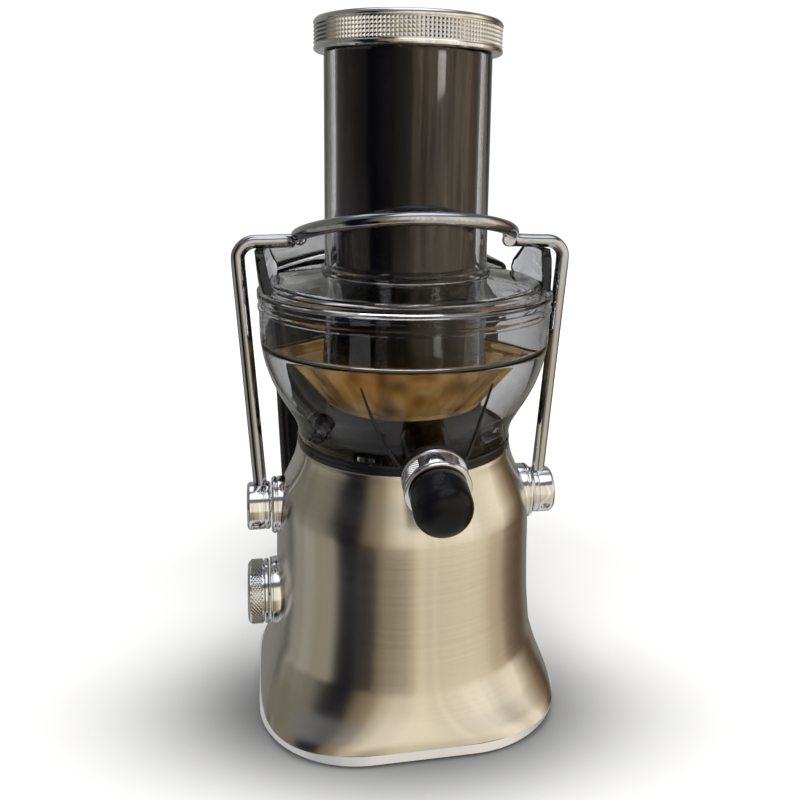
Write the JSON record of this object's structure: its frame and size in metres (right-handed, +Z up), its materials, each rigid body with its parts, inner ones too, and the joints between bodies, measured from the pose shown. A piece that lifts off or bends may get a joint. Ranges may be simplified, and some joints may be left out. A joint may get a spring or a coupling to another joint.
{
  "type": "electric juicer",
  "caption": "Centrifugal juicer: steel motor base, clear bowl and lid, wide feed chute with pusher, locking bail, speed knob, turnable spout and rear pulp container.",
  "frame": {"origin": "on the table, under the motor shaft, at the underside of the small rubber pad between the base's four feet", "axes": "+Z up along the motor shaft; -Y is the front, where the juice spout points; -X is the side with the speed knob; +Y is the back, where the pulp container stands"},
  "size_m": [0.178, 0.2965, 0.354],
  "materials": {
    "brushed_steel": "brushed, satin",
    "chrome": "polished",
    "black_plastic": "matt moulded",
    "black_gloss": "gloss",
    "black_satin": "satin",
    "rubber": "matt",
    "screw_steel": "plated",
    "sheet_steel": "plain",
    "cast_metal": "as cast",
    "bearing_steel": "ground",
    "laminated_steel": "varnished",
    "copper": "enamelled",
    "brass": "plain",
    "board": "lacquered",
    "smoke_clear": "clear smoked plastic",
    "amber_clear": "clear amber plastic",
    "mesh_steel": "etched"
  },
  "bodies": {
    "base": {"body_shell": "brushed_steel", "base_trim": "chrome", "bottom_cover": "black_plastic", "rubber_feet": "rubber", "bottom_screws": "screw_steel", "vibration_dampers": "rubber", "motor_mount_plate": "sheet_steel", "lower_end_bell": "cast_metal", "lower_bearing": "bearing_steel", "motor_can": "sheet_steel", "stator_core": "laminated_steel", "field_coils": "copper", "brush_gear": "brass", "upper_end_bell": "cast_metal", "upper_bearing": "bearing_steel", "motor_deck": "black_plastic", "shaft_seal": "rubber", "circuit_board": "board", "rotary_switch": "black_plastic", "knob_bezel": "chrome", "interlock_switch": "black_plastic", "cord_gland": "rubber", "pivot_bush_left": "chrome", "pivot_bush_right": "chrome", "bowl_base_ring": "black_gloss", "juice_bowl": "smoke_clear", "bowl_lock_stud": "black_gloss", "bowl_gasket": "rubber", "spout_tube": "smoke_clear", "spout_collar": "black_gloss", "spout_fins": "black_gloss", "lid": "smoke_clear", "lid_crown": "smoke_clear", "pulp_hood": "smoke_clear", "lid_ears": "smoke_clear", "feed_chute": "smoke_clear"},
    "spindle": {"motor_shaft": "bearing_steel", "armature": "laminated_steel", "commutator": "copper", "cooling_fan": "black_plastic", "drive_coupling": "black_plastic", "basket_hub": "black_plastic", "filter_basket": "amber_clear", "sieve_mesh": "mesh_steel", "grater_disc": "mesh_steel"},
    "bail": {"boss_left": "chrome", "boss_right": "chrome", "pivot_pins": "bearing_steel", "bail_side_left": "chrome", "bail_side_right": "chrome", "bail_arc": "chrome"},
    "knob": {"control_knob": "chrome", "knob_shaft": "bearing_steel"},
    "nozzle": {"spout_ring": "chrome", "spout_nozzle": "black_satin"},
    "pusher": {"pusher_body": "black_gloss", "pusher_ring": "chrome", "pusher_cap": "black_gloss"},
    "container": {"pulp_container": "black_gloss"}
  },
  "joints": [
    {"name": "bail_hinge", "type": "hinge", "parent": "base", "child": "bail", "pos_m": [0, 0, 0.1035], "axis": [1, 0, 0], "range_deg": [0, 100]},
    {"name": "spindle_spin", "type": "hinge", "parent": "base", "child": "spindle", "pos_m": [0, 0, 0.1], "axis": [0, 0, 1], "continuous": true},
    {"name": "knob_turn", "type": "hinge", "parent": "base", "child": "knob", "pos_m": [-0.078, 0, 0.054], "axis": [-1, 0, 0], "range_deg": [0, 120]},
    {"name": "nozzle_turn", "type": "hinge", "parent": "base", "child": "nozzle", "pos_m": [0, -0.093, 0.149], "axis": [0, -0.9613, -0.2756], "range_deg": [0, 180]},
    {"name": "pusher_slide", "type": "slide", "parent": "base", "child": "pusher", "axis": [0, 0, 1], "range_m": [0, 0.145]},
    {"name": "container_slide", "type": "slide", "parent": "base", "child": "container", "axis": [0, 1, 0], "range_m": [0, 0.12]}
  ]
}
